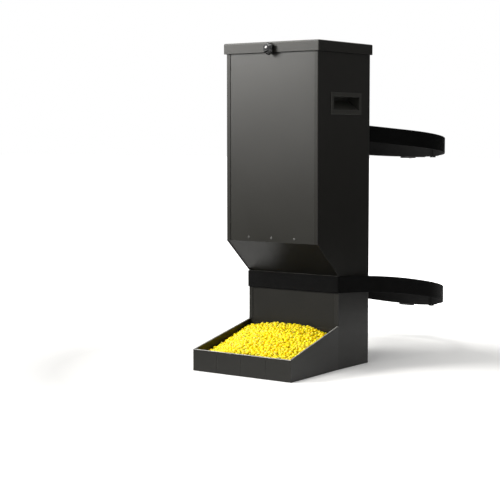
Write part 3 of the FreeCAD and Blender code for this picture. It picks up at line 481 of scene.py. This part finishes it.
def strap_mesh(name, route, height, closed):
    """Webbing along a plan route, its middle at a height for each Y."""
    section = band_section()
    count = len(section)
    points, uvs = [], []
    run = 0.0
    stations = route + route[:1] if closed else route
    for i, (x, y, angle) in enumerate(stations):
        if i:
            run += math.hypot(x - stations[i - 1][0], y - stations[i - 1][1])
        for w, t in section:
            px, py = x + t * math.cos(angle), y + t * math.sin(angle)
            points.append((px, py, height(py) + w))
            uvs.append((run, w + WEB_WIDTH))
    faces = []
    for i in range(len(stations) - 1):
        for j in range(count):
            k = (j + 1) % count
            faces.append((i * count + j, (i + 1) * count + j, (i + 1) * count + k, i * count + k))
    if not closed:
        last = (len(stations) - 1) * count
        faces.append(tuple(range(count)))
        faces.append(tuple(last + j for j in range(count))[::-1])
    strap = add_mesh(name, points, faces, uvs)
    if closed:
        weld = bmesh.new()
        weld.from_mesh(strap.data)
        bmesh.ops.remove_doubles(weld, verts=weld.verts, dist=1e-6)
        weld.to_mesh(strap.data)
        weld.free()
    fix_normals(strap)
    return strap


def fix_normals(piece):
    mesh = bmesh.new()
    mesh.from_mesh(piece.data)
    bmesh.ops.recalc_face_normals(mesh, faces=mesh.faces)
    mesh.to_mesh(piece.data)
    mesh.free()


def capsule(start, end, radius, sides=8):
    """Points and faces of a short round-ended stitch."""
    axis = (end - start).normalized()
    side = axis.orthogonal().normalized()
    other = axis.cross(side)
    rings = [(start - axis * radius * 0.7, 0.35), (start, 1.0), (end, 1.0),
             (end + axis * radius * 0.7, 0.35)]
    points = [start - axis * radius]
    for centre, share in rings:
        points += [centre + (side * math.cos(TAU * i / sides) + other * math.sin(TAU * i / sides))
                   * radius * share for i in range(sides)]
    points.append(end + axis * radius)
    faces = [(0, 1 + (i + 1) % sides, 1 + i) for i in range(sides)]
    for r in range(len(rings) - 1):
        low, high = 1 + r * sides, 1 + (r + 1) * sides
        faces += [(low + i, low + (i + 1) % sides, high + (i + 1) % sides, high + i)
                  for i in range(sides)]
    top = 1 + (len(rings) - 1) * sides
    faces += [(top + i, top + (i + 1) % sides, len(points) - 1) for i in range(sides)]
    return points, faces


def join_shapes(name, shapes, smooth=True):
    points, faces = [], []
    for shape_points, shape_faces in shapes:
        base = len(points)
        points += [tuple(p) for p in shape_points]
        faces += [tuple(base + i for i in face) for face in shape_faces]
    return add_mesh(name, points, faces, smooth=smooth)


def box_stitch(name, height, start, end):
    """A sewn box with a cross in it, on the outside of a strap, by degrees from straight behind."""
    radius = TRUNK_R + WEB_THICK + 0.0001
    reach = WEB_WIDTH / 2 - 0.006
    stitch, gap = 0.0026, 0.0012

    def at(share, w):
        angle = math.pi / 2 - math.radians(start + (end - start) * share)
        y = TRUNK_Y + radius * math.sin(angle)
        return Vector((radius * math.cos(angle), y, height(y) + w))

    corners = [(0, -reach), (1, -reach), (1, reach), (0, reach)]
    lines = [(corners[i], corners[(i + 1) % 4]) for i in range(4)]
    lines += [(corners[0], corners[2]), (corners[1], corners[3])]
    shapes = []
    for (s0, w0), (s1, w1) in lines:
        length = (at(s1, w1) - at(s0, w0)).length
        count = max(2, round(length / (stitch + gap)))
        for i in range(count):
            a, b = (i + 0.15) / count, (i + 0.85) / count
            shapes.append(capsule(at(s0 + (s1 - s0) * a, w0 + (w1 - w0) * a),
                                  at(s0 + (s1 - s0) * b, w0 + (w1 - w0) * b), 0.00045))
    return join_shapes(name, shapes)


def make_straps():
    bend_r, wrap_r = WEB_BEND_R, TRUNK_R + WEB_THICK / 2
    tail_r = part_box("upper_strap_tail")[1].y - TRUNK_Y - WEB_THICK / 2
    routes = {
        "upper": (loop_route(Vector((UPPER_BEND.x + WEB_THICK / 2, UPPER_BEND.y - WEB_THICK / 2)),
                             bend_r, wrap_r), upper_height),
        "lower": (loop_route(Vector((LOWER_BEND.x + WEB_THICK / 2, LOWER_BEND.y - WEB_THICK / 2)),
                             bend_r, wrap_r), lower_height),
    }
    for which, (route, height) in routes.items():
        web = MATERIALS["black_webbing"]
        strap = strap_mesh(which + "_strap_webbing", route, height, True)
        finish_piece(strap, "feeder_body", web, [which + "_strap"])
        tail = strap_mesh(which + "_strap_free_end", arc_route(tail_r, -5.0, 34.0), height, False)
        finish_piece(tail, "feeder_body", web, [which + "_strap_tail"])
        sewn = box_stitch(which + "_strap_stitching", height, -22.0, -11.0)
        finish_piece(sewn, "feeder_body", STITCH)


# ------------------------------------------------------------------ buckle springs
def spring_mesh(name, node):
    """A coiled torsion spring in the space that its solid holds."""
    low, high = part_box(node)
    middle = (low + high) / 2
    wire_r, turns, sides, steps = 0.0005, 5.5, 8, 16
    coil_r = (high.x - low.x) / 2 - wire_r
    count = int(turns * steps)
    path = []
    for i in range(count + 1):
        angle = TAU * i / steps
        z = low.z + wire_r + (high.z - low.z - 2 * wire_r) * i / count
        path.append(Vector((middle.x + coil_r * math.cos(angle), middle.y + coil_r * math.sin(angle), z)))
    points, faces = [], []
    for i, point in enumerate(path):
        ahead = (path[min(i + 1, count)] - path[max(i - 1, 0)]).normalized()
        outward = (point - Vector((middle.x, middle.y, point.z))).normalized()
        side = ahead.cross(outward).normalized()
        points += [point + (outward * math.cos(TAU * j / sides) + side * math.sin(TAU * j / sides))
                   * wire_r for j in range(sides)]
    for i in range(count):
        for j in range(sides):
            k = (j + 1) % sides
            faces.append((i * sides + j, i * sides + k, (i + 1) * sides + k, (i + 1) * sides + j))
    faces.append(tuple(range(sides)))
    faces.append(tuple(count * sides + j for j in range(sides))[::-1])
    spring = add_mesh(name, points, faces)
    fix_normals(spring)
    return spring


def make_springs():
    for which in ("upper", "lower"):
        node = which + "_buckle_spring"
        finish_piece(spring_mesh(which + "_torsion_spring", node), "feeder_body",
                     MATERIALS["zinc_steel"], [node])


# ------------------------------------------------------------------ star knob
def make_knob():
    """A six-lobed knob: straight lobes below, a rolled shoulder and a domed glossy crown."""
    low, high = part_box("latch_knob")
    centre = (low + high) / 2
    radius = (high.z - low.z) / 2
    depth = high.y - low.y
    lobes, around = 6, 144
    # (share of the radius, share of the depth from the back face, depth of the flutes)
    profile = [(0.0, 0.0, 0.0), (0.60, 0.0, 0.0), (0.90, 0.0, 0.7), (0.965, 0.03, 0.9),
               (1.0, 0.10, 1.0), (1.0, 0.46, 1.0), (0.985, 0.55, 1.0), (0.94, 0.63, 0.95),
               (0.86, 0.68, 0.8), (0.78, 0.70, 0.55), (0.73, 0.715, 0.3), (0.70, 0.745, 0.0),
               (0.64, 0.83, 0.0), (0.54, 0.90, 0.0), (0.40, 0.955, 0.0), (0.24, 0.987, 0.0),
               (0.10, 0.998, 0.0), (0.0, 1.0, 0.0)]
    points, faces = [], []
    rings = profile[1:-1]
    points.append((centre.x, high.y, centre.z))
    for share, forward, flute in rings:
        for i in range(around):
            angle = TAU * i / around + math.pi / 2
            wave = 0.5 - 0.5 * math.cos(lobes * (angle - math.pi / 2))
            r = radius * share * (1 - 0.17 * flute * wave ** 1.4)
            points.append((centre.x + r * math.cos(angle), high.y - depth * forward,
                           centre.z + r * math.sin(angle)))
    points.append((centre.x, low.y, centre.z))
    faces += [(0, 1 + i, 1 + (i + 1) % around) for i in range(around)]
    for ring in range(len(rings) - 1):
        a, b = 1 + ring * around, 1 + (ring + 1) * around
        faces += [(a + i, b + i, b + (i + 1) % around, a + (i + 1) % around) for i in range(around)]
    a = 1 + (len(rings) - 1) * around
    faces += [(a + i, len(points) - 1, a + (i + 1) % around) for i in range(around)]
    knob = add_mesh("star_knob", points, faces)
    fix_normals(knob)
    finish_piece(knob, "latch_knob", MATERIALS["knob_black"], ["latch_knob"])


# ------------------------------------------------------------------ maize
KERNEL_SIZE = (5.5, 6.4)     # half a kernel's length, in millimetres
KERNEL_STEP = 0.0094
KERNEL_SHAKE = 0.0034
KERNEL_LAYERS = 4
KERNEL_INSET = 0.0046        # the top layer's centres lie this far below the heap's top
LAYER_DROP = 0.0027
FRONT_GAP = 0.0095
SIDE_GAP = 0.0062
HEM_GAP = 0.006


def kernel_shape(detail):
    """One kernel, about a unit across: a rounded wedge with a dented crown. Returns points, faces, tips."""
    ball = bmesh.new()
    bmesh.ops.create_icosphere(ball, subdivisions=detail, radius=1.0)
    points, tips = [], []
    for v in ball.verts:
        x, y, z = v.co
        share = (z + 1) / 2
        wide = 0.66 + 0.34 * math.sin(min(share * 1.25, 1.0) * math.pi / 2)
        dent = 0.14 * math.exp(-(x * x + y * y) / 0.18) * max(z, 0.0)
        points.append((x * wide, y * wide * 0.84, z - dent))
        tips.append(1 - share)
    faces = np.array([[v.index for v in f.verts] for f in ball.faces])
    ball.free()
    return np.array(points), faces, tips


def scatter_kernels(name, spots, rng):
    """Kernels at spots: (x, y, z, detail), merged into one piece."""
    shapes = {detail: kernel_shape(detail) for detail in (1, 2)}
    points, faces, tips = [], [], []
    base = 0
    for x, y, z, detail in spots:
        shape, shape_faces, shape_tips = shapes[detail]
        size = rng.uniform(*KERNEL_SIZE) * MM
        lean = Quaternion((1, 0, 0), rng.uniform(0, TAU))
        spin = Quaternion((0, 0, 1), rng.uniform(0, TAU))
        turn = np.array((spin @ lean).to_matrix())
        points.append(shape @ turn.T * size + (x, y, z))
        faces += (shape_faces + base).tolist()
        tips += shape_tips
        base += len(shape)
    piece = add_mesh(name, np.concatenate(points), faces)
    attribute = piece.data.attributes.new("tip", "FLOAT", "POINT")
    attribute.data.foreach_set("value", tips)
    return piece


def rim_height(y):
    share = (NECK_Y - y) / (NECK_Y - LIP_Y)
    return RIM_NECK_Z + (RIM_FRONT_Z - RIM_NECK_Z) * share


def half_width(y):
    """Half the tray's clear width, which flares to the front."""
    share = max(0.0, (NECK_Y - y) / (NECK_Y - LIP_Y))
    flare = TRAY_HIGH.x - BODY_HALF
    return BODY_HALF - SHEET + flare * share


def heap_height(x, y):
    """The top of the heaped feed: crowned along the middle, falling to the walls."""
    aside = abs(x) / half_width(y)
    forward = min(1.0, max(0.0, (NECK_Y - y) / (NECK_Y - LIP_Y)))
    fall = 0.016 + 0.015 * forward if x < 0 else 0.026 - 0.008 * forward
    behind = max(0.0, y - (NECK_Y - 0.014))
    return rim_height(y) + 0.003 - fall * aside ** 2.2 - behind * 1.1


def make_heap():
    rng = random.Random(11)
    spots = []
    for layer in range(KERNEL_LAYERS):
        y = LIP_Y + FRONT_GAP
        while y < NECK_Y + 0.03:
            reach = half_width(y) - SIDE_GAP
            x = -reach + rng.uniform(0, KERNEL_STEP)
            while x < reach:
                px = max(-reach, min(reach, x + rng.uniform(-KERNEL_SHAKE, KERNEL_SHAKE)))
                py = max(LIP_Y + FRONT_GAP, y + rng.uniform(-KERNEL_SHAKE, KERNEL_SHAKE))
                top = heap_height(px, py)
                if py > NECK_Y - HEM_GAP:
                    top = min(top, NECK_LOW.z - HEM_GAP)
                z = top - KERNEL_INSET + rng.uniform(-0.0018, 0.0018) - layer * LAYER_DROP
                spots.append((px, py, z, 2 if layer < 2 else 1))
                x += KERNEL_STEP
            y += KERNEL_STEP * 0.9
    heap = scatter_kernels("maize_heap", spots, rng)
    finish_piece(heap, "feeder_body", MATERIALS["maize"])


# ------------------------------------------------------------------ stage
def area_lamp(name, place, target, size, power):
    data = bpy.data.lights.new(name, "AREA")
    data.shape = "RECTANGLE"
    data.size, data.size_y = size
    data.energy = power
    data.color = LAMP_WHITE
    lamp = bpy.data.objects.new(name, data)
    lamp.location = place
    lamp.rotation_euler = (Vector(target) - Vector(place)).to_track_quat("-Z", "Y").to_euler()
    bpy.context.scene.collection.objects.link(lamp)


def make_floor():
    """A pale floor that keeps the object's shadow and meets the white background."""
    reach = FLOOR_REACH
    floor = add_mesh("floor", [(-reach, -reach, 0), (reach, -reach, 0), (reach, reach, 0),
                               (-reach, reach, 0)], [(0, 1, 2, 3)], smooth=False)
    floor.location.z = -FLOOR_DROP
    t = Tree("pale_floor")
    path = t.add("LightPath")
    seen = t.math("MAXIMUM", path.outputs["Is Camera Ray"], path.outputs["Is Transmission Ray"])
    seen = t.math("MAXIMUM", seen, path.outputs["Is Glossy Ray"])
    away = t.add("VectorMath", {"operation": "LENGTH"})
    t.links.new(t.place(), away.inputs[0])
    level = t.ramp(away.outputs["Value"], FLOOR_NEAR, FLOOR_FAR, FLOOR_GLOW_NEAR, FLOOR_GLOW_FAR)
    grain = t.ramp(t.noise(t.place(), 3.0, 2.0, 0.5), 0.3, 0.7, 0.97, 1.0)
    t.shade(Base_Color=t.mix(seen, (0.10, 0.10, 0.10), (0.80, 0.80, 0.80)), Roughness=0.9)
    t.shader.inputs["Specular IOR Level"].default_value = 0.0
    glow = t.add("Emission", None, Color=(1, 1, 1, 1),
                 Strength=t.math("MULTIPLY", t.math("MULTIPLY", seen, level), grain))
    both = t.add("AddShader")
    t.links.new(t.shader.outputs[0], both.inputs[0])
    t.links.new(glow.outputs[0], both.inputs[1])
    t.links.new(both.outputs[0], t.nodes["Material Output"].inputs["Surface"])
    floor.data.materials.append(t.material)


def view_axes():
    """The directions away from the camera and to its right, both level."""
    return (Vector((-math.sin(CAMERA_YAW), math.cos(CAMERA_YAW), 0)),
            Vector((math.cos(CAMERA_YAW), math.sin(CAMERA_YAW), 0)))


def make_cards():
    """Dark cards out of the picture, which the coat reflects in place of the white."""
    ahead, right = view_axes()
    for name, near, far, low, high, grey in CARDS:
        t = Tree(name + "_felt")
        weave = t.noise(t.place(), 40.0, 3.0, 0.5)
        t.shade(Base_Color=t.mix(weave, (grey * 0.85,) * 3, (grey * 1.15,) * 3), Roughness=0.95)
        t.shader.inputs["Specular IOR Level"].default_value = 0.0
        corners = [ahead * depth + right * aside for depth, aside in (near, far)]
        points = [tuple(corner + Vector((0, 0, z))) for corner, z in
                  ((corners[0], low), (corners[1], low), (corners[1], high), (corners[0], high))]
        card = add_mesh(name, points, [(0, 1, 2, 3)], smooth=False)
        card.data.materials.append(t.material)
        card.visible_camera = False


def make_world():
    """White that is seen and reflected, and fill light that comes mostly from the key side."""
    world = bpy.data.worlds.new("studio")
    world.use_nodes = True
    nodes, links = world.node_tree.nodes, world.node_tree.links

    def number(operation, a, b):
        node = nodes.new("ShaderNodeMath")
        node.operation = operation
        for socket, value in zip(node.inputs, (a, b)):
            if isinstance(value, bpy.types.NodeSocket):
                links.new(value, socket)
            else:
                socket.default_value = value
        return node.outputs[0]

    place = nodes.new("ShaderNodeTexCoord").outputs["Generated"]
    towards = nodes.new("ShaderNodeVectorMath")
    towards.operation = "DOT_PRODUCT"
    links.new(place, towards.inputs[0])
    towards.inputs[1].default_value = KEY_SIDE
    side = nodes.new("ShaderNodeMapRange")
    side.interpolation_type = "SMOOTHSTEP"
    links.new(towards.outputs["Value"], side.inputs["Value"])
    for socket, value in (("From Min", -0.35), ("From Max", 1.0), ("To Min", ROOM_DIM),
                          ("To Max", ROOM_BRIGHT)):
        side.inputs[socket].default_value = value
    above = nodes.new("ShaderNodeSeparateXYZ")
    links.new(place, above.inputs[0])
    overhead = number("MULTIPLY", number("MAXIMUM", above.outputs[2], 0.0), ROOM_ABOVE)
    level = number("MAXIMUM", side.outputs["Result"], overhead)

    room = nodes["Background"]
    room.inputs["Color"].default_value = (1.0, 1.0, 0.985, 1.0)
    links.new(number("MULTIPLY", level, ROOM_DIFFUSE), room.inputs["Strength"])
    white = nodes.new("ShaderNodeBackground")
    white.inputs["Color"].default_value = (1, 1, 1, 1)
    white.inputs["Strength"].default_value = 1.0
    path = nodes.new("ShaderNodeLightPath")
    seen = number("MAXIMUM", path.outputs["Is Camera Ray"], path.outputs["Is Transmission Ray"])
    mix = nodes.new("ShaderNodeMixShader")
    links.new(number("MAXIMUM", seen, path.outputs["Is Glossy Ray"]), mix.inputs[0])
    links.new(room.outputs[0], mix.inputs[1])
    links.new(white.outputs[0], mix.inputs[2])
    links.new(mix.outputs[0], nodes["World Output"].inputs["Surface"])
    bpy.context.scene.world = world


def make_camera():
    data = bpy.data.cameras.new("camera")
    data.lens = CAMERA_LENS
    data.sensor_width = 36.0
    camera = bpy.data.objects.new("camera", data)
    ahead, right = view_axes()
    camera.location = Vector((0, BACK_Y, CAMERA_Z)) - ahead * CAMERA_BACK + right * CAMERA_ASIDE
    camera.rotation_euler = (math.pi / 2 + CAMERA_PITCH, 0, CAMERA_YAW)
    bpy.context.scene.collection.objects.link(camera)
    bpy.context.scene.camera = camera


def make_lights():
    middle = (0.0, -0.05, 0.45)
    area_lamp("key_softbox", (-2.40, -2.45, 1.98), (0.0, -0.05, 0.80), (1.6, 1.6), KEY_WATTS)
    area_lamp("top_softbox", (-0.25, -0.75, 2.8), middle, (1.3, 1.3), TOP_WATTS)


paint_cad_nodes()
make_straps()
make_springs()
make_knob()
make_heap()
make_floor()
make_cards()
make_world()
make_lights()
make_camera()
bpy.context.scene.view_settings.view_transform = "Standard"
